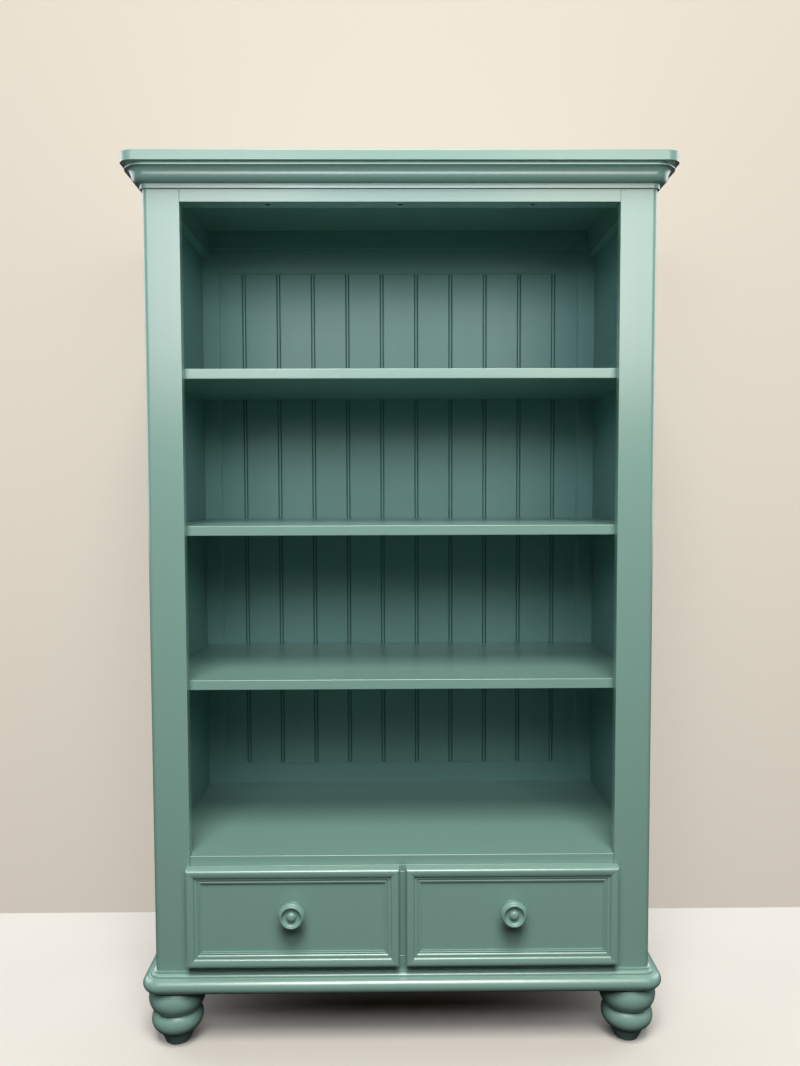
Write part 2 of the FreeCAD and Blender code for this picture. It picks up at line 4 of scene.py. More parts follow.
import bmesh
import bpy
from mathutils import Euler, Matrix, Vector

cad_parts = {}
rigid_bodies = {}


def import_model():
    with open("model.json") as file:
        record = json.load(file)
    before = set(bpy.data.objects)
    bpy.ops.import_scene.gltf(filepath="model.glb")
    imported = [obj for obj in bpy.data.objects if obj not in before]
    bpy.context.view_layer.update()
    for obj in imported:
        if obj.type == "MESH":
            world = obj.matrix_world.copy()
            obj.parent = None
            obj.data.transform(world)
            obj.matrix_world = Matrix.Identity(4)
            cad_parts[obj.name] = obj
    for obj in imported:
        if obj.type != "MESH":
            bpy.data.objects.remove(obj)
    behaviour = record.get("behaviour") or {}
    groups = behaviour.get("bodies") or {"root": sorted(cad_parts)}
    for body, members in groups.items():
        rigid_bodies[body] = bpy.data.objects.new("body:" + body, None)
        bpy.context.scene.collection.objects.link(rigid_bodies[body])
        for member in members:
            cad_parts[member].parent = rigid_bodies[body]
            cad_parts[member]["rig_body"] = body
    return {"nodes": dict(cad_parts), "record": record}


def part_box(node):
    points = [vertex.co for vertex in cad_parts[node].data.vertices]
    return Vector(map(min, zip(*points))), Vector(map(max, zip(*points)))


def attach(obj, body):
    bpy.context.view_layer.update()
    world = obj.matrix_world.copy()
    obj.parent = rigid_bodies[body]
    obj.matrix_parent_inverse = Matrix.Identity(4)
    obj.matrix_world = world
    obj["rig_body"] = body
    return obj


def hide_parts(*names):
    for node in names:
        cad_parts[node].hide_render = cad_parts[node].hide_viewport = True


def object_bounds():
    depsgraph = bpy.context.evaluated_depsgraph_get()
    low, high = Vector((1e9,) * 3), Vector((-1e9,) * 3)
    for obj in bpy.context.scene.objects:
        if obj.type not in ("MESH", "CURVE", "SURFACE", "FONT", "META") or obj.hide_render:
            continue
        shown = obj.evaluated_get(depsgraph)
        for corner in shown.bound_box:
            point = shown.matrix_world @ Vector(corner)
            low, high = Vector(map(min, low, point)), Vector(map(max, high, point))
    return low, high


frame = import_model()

# A painted bookcase with two drawers. Metres, +Z up, -Y out of the front. Every board and moulding
# of the plain model is dressed here: its corners are eased, its curves are smoothed and it gets its
# paint or its bare wood. The feet and knobs are turned, and the screws are put in at the end.

cad_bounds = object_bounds()

MM = 0.001
scene = bpy.context.scene

# ---- Finishes: colours are linear
SAGE = (0.207, 0.370, 0.325)
SAGE_DEEP = (0.180, 0.334, 0.296)
SAGE_PALE = (0.231, 0.398, 0.348)
# The inside colour is painted cool shade: the same paint with less red and more blue, for the cooler
# light inside the bays.
SAGE_INSIDE_COOL_SHADE = (0.138, 0.350, 0.356)
SAGE_IN_PORES = (0.10, 0.16, 0.14)
# The groove colour is painted shade for the bottoms of the back boards' grooves.
SAGE_PAINTED_GROOVE_SHADE = (0.020, 0.066, 0.060)
GROOVE_DEPTH = 1.2 * MM
BOARD_SHIFTS = {"X": 3.1, "Y": 5.7, "Z": 7.3}
COAT_ROUGHNESS = 0.25
COAT_IOR = 1.6
PINE = (0.64, 0.45, 0.26)
PINE_LATE = (0.46, 0.27, 0.12)
ZINC = (0.55, 0.55, 0.54)

# ---- Grain: how fine it is along a board and across it. Other scales are cells or waves a metre.
PAINTED_GRAIN = (5.0, 160.0)
PINE_RINGS = (1.2, 26.0)
PINE_FIBRES = (12.0, 700.0)
CLOUD_SCALE = 2.3
SPRAY_SCALE = 420.0
ZINC_HAZE_SCALE = 900.0

# ---- Pinholes and knocks: a mark's size as a share of its cell, and the share of cells without one
PINHOLE_CELLS = 70.0
PINHOLE_SIZE = 0.055
PINHOLE_RARITY = 0.965
KNOCK_CELLS = 17.0
KNOCK_EDGE_SCALE = 190.0
KNOCK_SIZE = 0.085
KNOCK_RARITY = 0.90

# ---- Corners: the radius that a maker's sandpaper leaves
BOARD_ARRIS = 0.9 * MM
BEAD_ARRIS = 0.3 * MM
BOX_ARRIS = 0.5 * MM
JOINT_LINE = 0.45 * MM
SHOULDER_REACH = 0.05 * MM
LOOSE_GAP = 0.004 * MM
RUN_WELD = 0.002 * MM

# ---- Angles, in degrees
FLAT_WITHIN = 0.3
ARRIS_FROM = 28
BOARD_SHARP = 35
TURNED_SHARP = 30
SCREW_SHARP = 40

# ---- Floor, backdrop and light
FLOOR_COLOUR = (0.66, 0.64, 0.61)
WALL_COLOUR = (0.76, 0.70, 0.61)
FLOOR_BOUNCE = (0.035, 0.035, 0.033)
WALL_GLOW = 0.5
STAGE_CLOUD_SCALE = 0.7
STAGE_CLOUD_SHADE = 0.97
AMBIENT = 0.006
WALL_GAP = 0.10
WALL_HEIGHT = 5.0
STAGE_HALF = 6.0


def shown(sockets, key):
    """A node's socket by its number, or the one of that name that is in use."""
    if isinstance(key, int):
        return sockets[key]
    return next(s for s in sockets if s.name == key and s.enabled)


class Wire:
    """An output socket. Arithmetic on wires adds Math nodes."""

    def __init__(self, graph, socket):
        self.graph = graph
        self.socket = socket

    def __add__(self, other):
        return self.graph.maths("ADD", self, other)

    def __sub__(self, other):
        return self.graph.maths("SUBTRACT", self, other)

    def __rsub__(self, other):
        return self.graph.maths("SUBTRACT", other, self)

    def __mul__(self, other):
        return self.graph.maths("MULTIPLY", self, other)

    def __truediv__(self, other):
        return self.graph.maths("DIVIDE", self, other)

    def __gt__(self, other):
        return self.graph.maths("GREATER_THAN", self, other)

    def __lt__(self, other):
        return self.graph.maths("LESS_THAN", self, other)


class Graph:
    """A node tree in the making, with one method that adds any node."""

    def __init__(self, tree):
        self.tree = tree

    def node(self, kind, settings=None, sockets=None):
        made = self.tree.nodes.new(kind)
        for name, value in (settings or {}).items():
            if name == "stops":
                self.set_stops(made.color_ramp, value)
            else:
                setattr(made, name, value)
        for key, value in (sockets or {}).items():
            socket = shown(made.inputs, key)
            if isinstance(value, Wire):
                self.tree.links.new(value.socket, socket)
            else:
                socket.default_value = value
        return {o.name: Wire(self, o) for o in made.outputs if o.enabled}

    def maths(self, operation, *operands):
        sockets = dict(enumerate(operands))
        return self.node("ShaderNodeMath", {"operation": operation}, sockets)["Value"]

    def mixed_shaders(self, factor, first, second):
        return self.node("ShaderNodeMixShader", {}, {0: factor, 1: first, 2: second})["Shader"]

    @staticmethod
    def set_stops(ramp, stops):
        ramp.elements[0].position, ramp.elements[0].color = stops[0]
        ramp.elements[-1].position, ramp.elements[-1].color = stops[-1]
        for place, colour in stops[1:-1]:
            ramp.elements.new(place).color = colour


class Finish(Graph):
    """A material."""

    def __init__(self, name):
        self.material = bpy.data.materials.new(name)
        self.material.use_nodes = True
        super().__init__(self.material.node_tree)
        self.tree.nodes.clear()

    def mixed(self, factor, first, second):
        sockets = {"Factor": factor, "A": first, "B": second}
        return self.node("ShaderNodeMix", {"data_type": "RGBA"}, sockets)["Result"]

    def place(self):
        return self.node("ShaderNodeTexCoord")["Object"]

    def noise(self, place, scale, detail=2.0, **more):
        sockets = {"Vector": place, "Scale": scale, "Detail": detail, **more}
        return self.node("ShaderNodeTexNoise", {}, sockets)["Fac"]

    def spots(self, place, scale, size, channel, share_left_out, edge=0.0):
        """Round marks in a pattern of cells. One colour channel draws which cells have a mark."""
        cells = self.node("ShaderNodeTexVoronoi", {}, {"Vector": place, "Scale": scale})
        draw = self.node("ShaderNodeSeparateColor", {}, {"Color": cells["Color"]})[channel]
        return (cells["Distance"] + edge < size) * (draw > share_left_out)

    def bumped(self, height, strength, distance):
        sockets = {"Height": height, "Strength": strength, "Distance": distance}
        return self.node("ShaderNodeBump", {}, sockets)["Normal"]

    def shaded(self, sockets):
        return self.node("ShaderNodeBsdfPrincipled", {}, sockets)["BSDF"]

    def surface(self, shader):
        self.node("ShaderNodeOutputMaterial", {}, {"Surface": shader})
        return self.material


class Jig(Graph):
    """A Geometry Nodes tree that makes a piece from a guide mesh and named sizes."""

    def __init__(self, name, sizes):
        super().__init__(bpy.data.node_groups.new(name, "GeometryNodeTree"))
        interface = self.tree.interface
        self.keys = {}
        for size, kind in [("Guide", "NodeSocketGeometry")] + sizes:
            socket = interface.new_socket(name=size, in_out="INPUT", socket_type=kind)
            self.keys[size] = socket.identifier
        interface.new_socket(name="Piece", in_out="OUTPUT", socket_type="NodeSocketGeometry")
        self.given = self.node("NodeGroupInput")

    def ends_in(self, geometry):
        whole = self.node("GeometryNodeRealizeInstances", {}, {"Geometry": geometry})["Geometry"]
        finished = self.node("GeometryNodeSetMaterial", {},
                             {"Geometry": whole, "Material": self.given["Finish"]})["Geometry"]
        self.node("NodeGroupOutput", {}, {"Piece": finished})
        return self

    def make(self, name, guide, **sizes):
        """A plain mesh made by the tree along the guide."""
        blank = linked(name + "_guide", guide)
        tool = blank.modifiers.new("jig", "NODES")
        tool.node_group = self.tree
        for size, value in sizes.items():
            tool[self.keys[size.capitalize()]] = value
        evaluated = blank.evaluated_get(bpy.context.evaluated_depsgraph_get())
        mesh = bpy.data.meshes.new_from_object(evaluated)
        mesh.name = name
        bpy.data.objects.remove(blank)
        return mesh


def opaque(colour):
    return (*colour, 1.0)


def stretched(finish, along, across, axis):
    """Object coordinates, fine across the grain, coarse along it and shifted for each board."""
    place = finish.place()
    board = finish.node("ShaderNodeAttribute", {"attribute_name": "board"})["Fac"]
    shifts = {way: board * far for way, far in BOARD_SHIFTS.items()}
    shift = finish.node("ShaderNodeCombineXYZ", {}, shifts)["Vector"]
    moved = finish.node("ShaderNodeVectorMath", {"operation": "ADD"}, {0: place, 1: shift})["Vector"]
    scale = [across, across, across]
    scale["XYZ".index(axis)] = along
    return finish.node("ShaderNodeMapping", {}, {"Vector": moved, "Scale": scale})["Vector"]


def sage_paint(name, axis, grain_depth=0.16, coat=0.9, roughness=0.26, colour=SAGE,
               grooved_face=None):
    """Sprayed satin paint, with the wood's grain under it, a few pinholes and a few small knocks.

    Behind a grooved face the paint is darkened towards the bottoms of the grooves: painted shade in
    the grooves.
    """
    paint = Finish(name)
    place = paint.place()
    cloud = paint.noise(place, CLOUD_SCALE, 3.0)
    grain = paint.noise(stretched(paint, *PAINTED_GRAIN, axis), 1.0, 5.0, Roughness=0.62)
    spray = paint.noise(place, SPRAY_SCALE)
    pinhole = paint.spots(place, PINHOLE_CELLS, PINHOLE_SIZE, "Red", PINHOLE_RARITY)
    ragged = paint.noise(place, KNOCK_EDGE_SCALE) * 0.10
    knock = paint.spots(place, KNOCK_CELLS, KNOCK_SIZE, "Green", KNOCK_RARITY, ragged)
    tone = paint.mixed(cloud, opaque(SAGE_DEEP), opaque(SAGE_PALE))
    tone = paint.mixed(0.55, tone, opaque(colour))
    tone = paint.mixed((grain - 0.5) * 0.10 + 0.10, tone, opaque(SAGE_DEEP))
    tone = paint.mixed(pinhole * 0.5 + knock * 0.35, tone, opaque(SAGE_IN_PORES))
    # Painted shade: the colour darkens towards the bottoms of the grooves.
    if grooved_face is not None:
        depth = paint.node("ShaderNodeSeparateXYZ", {}, {"Vector": place})["Y"] - grooved_face
        painted_groove_depth = paint.maths("MINIMUM", depth / GROOVE_DEPTH, 1.0) * (depth < 2.5 * GROOVE_DEPTH)
        painted_groove_shade = paint.maths("MAXIMUM", painted_groove_depth, 0.0) * 0.75
        tone = paint.mixed(painted_groove_shade, tone, opaque(SAGE_PAINTED_GROOVE_SHADE))
    height = grain * grain_depth + spray * 0.06 - pinhole * 1.6 - knock * 1.2
    sheen = cloud * 0.08 + grain * 0.06 + roughness
    return paint.surface(paint.shaded({"Base Color": tone, "Roughness": sheen, "Coat Weight": coat,
                                       "Coat Roughness": COAT_ROUGHNESS, "Coat IOR": COAT_IOR,
                                       "Normal": paint.bumped(height, 0.55, 0.10 * MM)}))


def bare_pine(name, axis):
    """Sanded and sealed pine, with its rings drawn out along the board."""
    pine = Finish(name)
    rings = pine.noise(stretched(pine, *PINE_RINGS, axis), 1.0, Distortion=0.6)
    fine = pine.noise(stretched(pine, *PINE_FIBRES, axis), 1.0, 3.0)
    bands = pine.maths("PINGPONG", rings * 9.0, 1.0)
    late = pine.node("ShaderNodeValToRGB", {"stops": [(0.45, (0, 0, 0, 1)), (0.95, (1, 1, 1, 1))]},
                     {"Fac": bands})["Color"]
    tone = pine.mixed(late, opaque(PINE), opaque(PINE_LATE))
    tone = pine.mixed(0.45, tone, opaque(PINE))
    tone = pine.mixed(fine * 0.25, tone, opaque(PINE_LATE))
    return pine.surface(pine.shaded({"Base Color": tone, "Roughness": fine * 0.15 + 0.42,
                                     "Normal": pine.bumped(fine + bands * 0.3, 0.35, 0.15 * MM)}))


def zinc_steel():
    zinc = Finish("zinc_screw")
    haze = zinc.noise(zinc.place(), ZINC_HAZE_SCALE)
    return zinc.surface(zinc.shaded({"Base Color": opaque(ZINC), "Metallic": 1.0,
                                     "Roughness": haze * 0.2 + 0.3,
                                     "Normal": zinc.bumped(haze, 0.3, 0.05 * MM)}))


PAINT_UPRIGHT = sage_paint("sage_paint_upright", "Z")
PAINT_LEVEL = sage_paint("sage_paint_level", "X")
PAINT_DEEP = sage_paint("sage_paint_front_to_back", "Y")
PAINT_TURNED = sage_paint("sage_paint_turned", "Z", grain_depth=0.06, coat=0.1)
# The inside paint has less sheen, and its colour is painted cool shade for the light inside the
# bays.
INSIDE_LOW_SHEEN_AND_PAINTED_SHADE = {"coat": 0.0, "roughness": 0.36, "colour": SAGE_INSIDE_COOL_SHADE}
PAINT_INSIDE = sage_paint("sage_paint_inside_upright", "Z", **INSIDE_LOW_SHEEN_AND_PAINTED_SHADE)
PAINT_INSIDE_LEVEL = sage_paint("sage_paint_inside_level", "X", **INSIDE_LOW_SHEEN_AND_PAINTED_SHADE)
PAINT_BOARDS = sage_paint("sage_paint_boards", "Z", grooved_face=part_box("back_boards")[0].y,
                          **INSIDE_LOW_SHEEN_AND_PAINTED_SHADE)
PINE_LEVEL = bare_pine("bare_pine_level", "X")
PINE_DEEP = bare_pine("bare_pine_front_to_back", "Y")
PINE_UPRIGHT = bare_pine("bare_pine_upright", "Z")
STEEL = zinc_steel()


# ---- Pieces and their places

def linked(name, data):
    piece = bpy.data.objects.new(name, data)
    scene.collection.objects.link(piece)
    return piece


def smoothed(mesh, sharp_degrees):
    mesh.polygons.foreach_set("use_smooth", [True] * len(mesh.polygons))
    mesh.set_sharp_from_angle(angle=math.radians(sharp_degrees))


def numbered(mesh, board_number):
    """Each board's own number moves the grain in its paint or its wood."""
    board = mesh.attributes.new("board", "FLOAT", "POINT")
    board.data.foreach_set("value", [float(board_number)] * len(mesh.vertices))


def stands_for(piece, node):
    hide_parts(node)
    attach(piece, frame["nodes"][node]["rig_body"])


def weighted(piece):
    """Shades the flats flat and leaves the turn of light to the rounded corners."""
    piece.modifiers.new("weigh", "WEIGHTED_NORMAL").keep_sharp = True
    return piece


def cleaned(mesh, arris, shoulder=None):
    """Welds the loose triangles, joins flat ones into whole faces and rounds the sharp corners.

    A shoulder is the distance from the middle at which a rail's ends meet the stiles, and they are
    cut a hair short there, so that the joint shows as a fine line.
    """
    bm = bmesh.new()
    bm.from_mesh(mesh)
    bmesh.ops.remove_doubles(bm, verts=bm.verts, dist=LOOSE_GAP)
    if shoulder:
        for v in bm.verts:
            if abs(abs(v.co.x) - shoulder) < SHOULDER_REACH:
                v.co.x -= math.copysign(JOINT_LINE, v.co.x)
    bmesh.ops.dissolve_limit(bm, angle_limit=math.radians(FLAT_WITHIN), verts=bm.verts,
                              edges=bm.edges)
    if arris:
        sharp = [e for e in bm.edges
                 if len(e.link_faces) == 2 and e.calc_face_angle() > math.radians(ARRIS_FROM)]
        bmesh.ops.bevel(bm, geom=sharp, offset=arris, offset_type="OFFSET", segments=2, profile=0.5,
                        affect="EDGES", clamp_overlap=True)
    bm.to_mesh(mesh)
    bm.free()
    smoothed(mesh, BOARD_SHARP)


def dressed(node, finish, arris, board_number):
    """A finished copy of one plain piece, which stands for it."""
    mesh = frame["nodes"][node].data.copy()
    mesh.materials.clear()
    mesh.materials.append(finish)
    cleaned(mesh, arris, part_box("stile_right")[0].x if node in BETWEEN_STILES else None)
    # The side panels' inner faces take the inside paint and its painted cool shade.
    if node.startswith("side_panel_"):
        mesh.materials.append(PAINT_INSIDE)
        for face in mesh.polygons:
            face.material_index = int(face.normal.x * face.center.x < 0)
    numbered(mesh, board_number)
    stands_for(weighted(linked(node + "_finished", mesh)), node)


BETWEEN_STILES = ("top_rail", "bay_floor")
INSIDE = ("back_", "_back_cleat")
UPRIGHT = ("stile_", "side_panel_", "back_stile_", "back_boards", "centre_stile")
MOULDED = ("crown_", "base_moulding_", "moulding_", "top_board")


def any_of(node, words):
    return any(word in node for word in words)


def paint_for(node):
    if "side_cleats" in node:
        return PAINT_DEEP
    if node == "back_boards":
        return PAINT_BOARDS
    if any_of(node, INSIDE):
        return PAINT_INSIDE if any_of(node, UPRIGHT) else PAINT_INSIDE_LEVEL
    if any_of(node, UPRIGHT):
        return PAINT_UPRIGHT
    return PAINT_LEVEL


def pine_for(node):
    if any_of(node, ("box_side", "drawer_guides", "drawer_partition")):
        return PINE_DEEP
    if "foot_blocks" in node:
        return PINE_UPRIGHT
    return PINE_LEVEL


def arris_for(node):
    if node == "back_boards":
        return BEAD_ARRIS
    if "_box_" in node:
        return BOX_ARRIS
    return BOARD_ARRIS


# ---- Turned pieces and mouldings: a section is carried along a run by one tree

POINTS_PER_ARC = 12
LATHE_STEPS = 96
CORNER_STEPS = 6
FACE_FRAME_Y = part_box("stile_left")[0].y
BODY_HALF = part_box("stile_right")[1].x
BODY_BACK_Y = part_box("side_panel_right")[1].y
CORNER_RADIUS = 10 * MM
UP = Vector((0, 0, 1))
FORWARD = Vector((0, -1, 0))


def section_along_a_run():
    """The guide's points are the run's stations, each with a vector for the section's X and Z."""
    jig = Jig("section_along_a_run", [("Section", "NodeSocketObject"), ("Weld", "NodeSocketFloat"),
                                      ("Finish", "NodeSocketMaterial")])
    run = jig.given["Guide"]
    section = jig.node("GeometryNodeObjectInfo", {}, {"Object": jig.given["Section"]})["Geometry"]
    stations = jig.node("GeometryNodeAttributeDomainSize", {}, {"Geometry": run})["Point Count"]
    count = jig.node("GeometryNodeAttributeDomainSize", {}, {"Geometry": section})["Point Count"]
    sheet = jig.node("GeometryNodeMeshGrid", {},
                     {"Vertices X": stations, "Vertices Y": count})["Mesh"]
    index = jig.node("GeometryNodeInputIndex")["Index"]
    station = jig.maths("FLOOR", index / count)
    place = jig.node("GeometryNodeInputPosition")["Position"]

    def sampled(geometry, value, at):
        return jig.node("GeometryNodeSampleIndex", {"data_type": "FLOAT_VECTOR"},
                        {"Geometry": geometry, "Value": value, "Index": at})["Value"]

    def named(name):
        found = jig.node("GeometryNodeInputNamedAttribute", {"data_type": "FLOAT_VECTOR"},
                         {"Name": name})
        return sampled(run, found["Attribute"], station)

    point = jig.node("ShaderNodeSeparateXYZ", {},
                     {"Vector": sampled(section, place, index - station * count)})
    spot = sampled(run, place, station)
    for vector, amount in (("out", point["X"]), ("up", point["Z"])):
        reach = jig.node("ShaderNodeVectorMath", {"operation": "SCALE"},
                         {"Vector": named(vector), "Scale": amount})["Vector"]
        spot = jig.node("ShaderNodeVectorMath", {"operation": "ADD"}, {0: spot, 1: reach})["Vector"]
    shell = jig.node("GeometryNodeSetPosition", {},
                     {"Geometry": sheet, "Position": spot})["Geometry"]
    closed = jig.node("GeometryNodeMergeByDistance", {},
                      {"Geometry": shell, "Distance": jig.given["Weld"]})
    return jig.ends_in(closed["Geometry"])


def arc_points(start, middle, end):
    """Points on the circle through three points, in millimetres, without the first."""
    (ax, ay), (bx, by), (cx, cy) = start, middle, end
    d = 2 * (ax * (by - cy) + bx * (cy - ay) + cx * (ay - by))
    ux = ((ax * ax + ay * ay) * (by - cy) + (bx * bx + by * by) * (cy - ay)
          + (cx * cx + cy * cy) * (ay - by)) / d
    uy = ((ax * ax + ay * ay) * (cx - bx) + (bx * bx + by * by) * (ax - cx)
          + (cx * cx + cy * cy) * (bx - ax)) / d
    radius = math.hypot(ax - ux, ay - uy)
    first = math.atan2(ay - uy, ax - ux)
    half = math.remainder(math.atan2(by - uy, bx - ux) - first, math.tau)
    sweep = math.remainder(math.atan2(cy - uy, cx - ux) - first, math.tau)
    if half * sweep < 0:
        sweep -= math.copysign(math.tau, sweep)
    steps = [first + sweep * i / POINTS_PER_ARC for i in range(1, POINTS_PER_ARC + 1)]
    return [(ux + radius * math.cos(a), uy + radius * math.sin(a)) for a in steps]


def bulge(amount):
    """Marks an arc that stands off its chord by an amount, to the right of its way."""
    return ("bulge", amount)


def section_points(outline):
    """The outline's points in millimetres. A step is a point, or an arc's middle and its end."""
    points = [outline[0]]
    for step in outline[1:]:
        if not isinstance(step[0], tuple):
            points.append(step)
            continue
        middle, end = step
        if middle[0] == "bulge":
            (x0, z0), (x1, z1) = points[-1], end
            length = math.hypot(x1 - x0, z1 - z0)
            middle = ((x0 + x1) / 2 + middle[1] * (z1 - z0) / length,
                      (z0 + z1) / 2 - middle[1] * (x1 - x0) / length)
        points += arc_points(points[-1], middle, end)
    return points


def wire_mesh(name, points):
    mesh = bpy.data.meshes.new(name)
    mesh.from_pydata(points, [(i, i + 1) for i in range(len(points) - 1)], [])
    return mesh


RUN = section_along_a_run()


def carried(node, outline, stations, finish, board_number):
    """Carries an outline along stations of (place, out, up). The piece stands for a node."""
    name = node + "_finished"
    points = [(x * MM, 0, z * MM) for x, z in section_points(outline)]
    section = linked(name + "_section", wire_mesh(name, points))
    guide = wire_mesh(name, [station[0] for station in stations])
    for key, column in (("out", 1), ("up", 2)):
        vectors = guide.attributes.new(key, "FLOAT_VECTOR", "POINT")
        vectors.data.foreach_set("vector", [c for station in stations for c in station[column]])
    mesh = RUN.make(name, guide, section=section, weld=RUN_WELD, finish=finish)
    bpy.data.objects.remove(section)
    bm = bmesh.new()
    bm.from_mesh(mesh)
    bmesh.ops.holes_fill(bm, edges=[e for e in bm.edges if e.is_boundary], sides=0)
    bmesh.ops.recalc_face_normals(bm, faces=bm.faces)
    bm.to_mesh(mesh)
    bm.free()
    smoothed(mesh, TURNED_SHARP)
    numbered(mesh, board_number)
    stands_for(linked(name, mesh), node)


# ---- Feet and knobs

FOOT_OUTLINE = [(0, 0), (22, 0), (33, 24), ((46.8, 43), (39, 62)), ((51.5, 86), (40, 110)),
                (11, 110), (11, 145), (0, 145)]
KNOB_LENGTH = 32.0
KNOB_OUTLINE = [(0, -22), (6, -22), (6, 0), (14.6, 0), (14.6, 3.0), (13.6, 4.0),
                (bulge(-3.2), (14.5, 14.5)), (bulge(2.2), (24.0, 22.5)),
                (bulge(0.7), (22.6, 27.2)), (21.4, 27.8), (bulge(0.8), (19.6, KNOB_LENGTH - 0.7)),
                ((18.7, KNOB_LENGTH - 0.3), (17.4, KNOB_LENGTH - 1.1)), (bulge(-1.2), (12.6, 25.6)),
                (9.0, 25.2), ((6.6, 30.0), (0, KNOB_LENGTH - 0.2))]


def turning(middle, axis):
    """Stations once round an axis."""
    x_way = axis.orthogonal().normalized()
    y_way = axis.cross(x_way)
    angles = [math.tau * i / LATHE_STEPS for i in range(LATHE_STEPS + 1)]
    return [(middle, x_way * math.cos(a) + y_way * math.sin(a), axis) for a in angles]


def foot_stations(node):
    low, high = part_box(node)
    return turning(Vector(((low.x + high.x) / 2, (low.y + high.y) / 2, low.z)), UP)


def knob_stations(node):
    low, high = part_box(node)
    middle = Vector(((low.x + high.x) / 2, low.y + KNOB_LENGTH * MM, (low.z + high.z) / 2))
    return turning(middle, FORWARD)


# ---- Crown and plinth

CROWN_OUTLINE = [(0, 0), (4, 0), (bulge(0.3), (4, 8.4)), (7, 8.4), (bulge(3.0), (18.5, 20.5)),
                 (bulge(-3.0), (29.5, 31)), (29.5, 32.6), (23.5, 33.2), (23.5, 38), (0, 38), (0, 0)]
PLINTH_OUTLINE = [(0, 0), (10.75, 0), ((24.0, 13.25), (12.0, 26.44)), (10.0, 26.44), (10.0, 27.24),
                  (bulge(1.2), (5.5, 32)), (3.5, 32), (3.5, 35), (0, 35), (0, 0)]


def corner_stations(side, first, last, level):
    """Stations round a front corner, from one angle to another. 0 faces the front, 90 the side."""
    stations = []
    for i in range(CORNER_STEPS + 1):
        angle = math.radians(first + (last - first) * i / CORNER_STEPS)
        out = Vector((side * math.sin(angle), -math.cos(angle), 0))
        centre = Vector((side * (BODY_HALF - CORNER_RADIUS), FACE_FRAME_Y + CORNER_RADIUS, level))
        stations.append((centre + out * CORNER_RADIUS, out, UP))
    return stations


def wrapped(front, returns, outline, number):
    """The front length and both returns of a moulding round the body, mitred at the corners."""
    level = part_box(front)[0].z
    carried(front, outline, corner_stations(-1, 45, 0, level) + corner_stations(1, 0, 45, level),
            PAINT_LEVEL, number)
    for side, node in zip((-1, 1), returns):
        back_end = (Vector((side * BODY_HALF, BODY_BACK_Y, level)), Vector((side, 0, 0)), UP)
        carried(node, outline, corner_stations(side, 45, 90, level) + [back_end], PAINT_DEEP,
                number + side)


# ---- Drawer fronts

FRONT_THICK = 19.6
FRONT_OUTLINE = [(0, 0), (0, FRONT_THICK - 5.2),
                 ((1.5, FRONT_THICK - 1.55), (5.2, FRONT_THICK - 0.05)),
                 ((8.9, FRONT_THICK - 0.36), (12.6, FRONT_THICK - 1.3)),
                 ((14.5, FRONT_THICK - 2.5), (15.4, FRONT_THICK - 5.2)), (16.2, FRONT_THICK - 5.2),
                 (bulge(-1.3), (21.8, FRONT_THICK - 7.4)), (24.3, FRONT_THICK - 6.2),
                 (24.7, FRONT_THICK - 7.6), (27.0, FRONT_THICK - 7.6), (27.0, FRONT_THICK - 10.0),
                 (17.0, FRONT_THICK - 10.0), (17.0, 0), (0, 0)]


def drawer_moulding(drawer, number):
    """Four mitred lengths round a panel. Their section runs inwards and out of the front."""
    sides = {side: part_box(drawer + "_moulding_" + side)
             for side in ("top", "bottom", "inner", "outer")}
    left = min(low.x for low, high in sides.values())
    right = max(high.x for low, high in sides.values())
    bottom, top = sides["bottom"][0].z, sides["top"][1].z
    back_y = sides["top"][1].y
    upright = (((left, bottom), (left, top)), ((right, top), (right, bottom)))
    if sides["inner"][0].x > sides["outer"][0].x:
        upright = upright[::-1]
    ends = {"top": ((left, top), (right, top)), "bottom": ((right, bottom), (left, bottom)),
            "inner": upright[0], "outer": upright[1]}
    for i, (side, corners) in enumerate(ends.items()):
        stations = [(Vector((x, back_y, z)),
                     Vector((1 if x == left else -1, 0, 1 if z == bottom else -1)), FORWARD)
                    for x, z in corners]
        finish = PAINT_LEVEL if side in ("top", "bottom") else PAINT_UPRIGHT
        carried(drawer + "_moulding_" + side, FRONT_OUTLINE, stations, finish, number + i)


# ---- Top board

TOP_CORNER_RADIUS = 25 * MM
TOP_EDGE_ROUND = 1.8 * MM
TOP_CORNER_STEPS = 12
TOP_EDGE_STEPS = 5


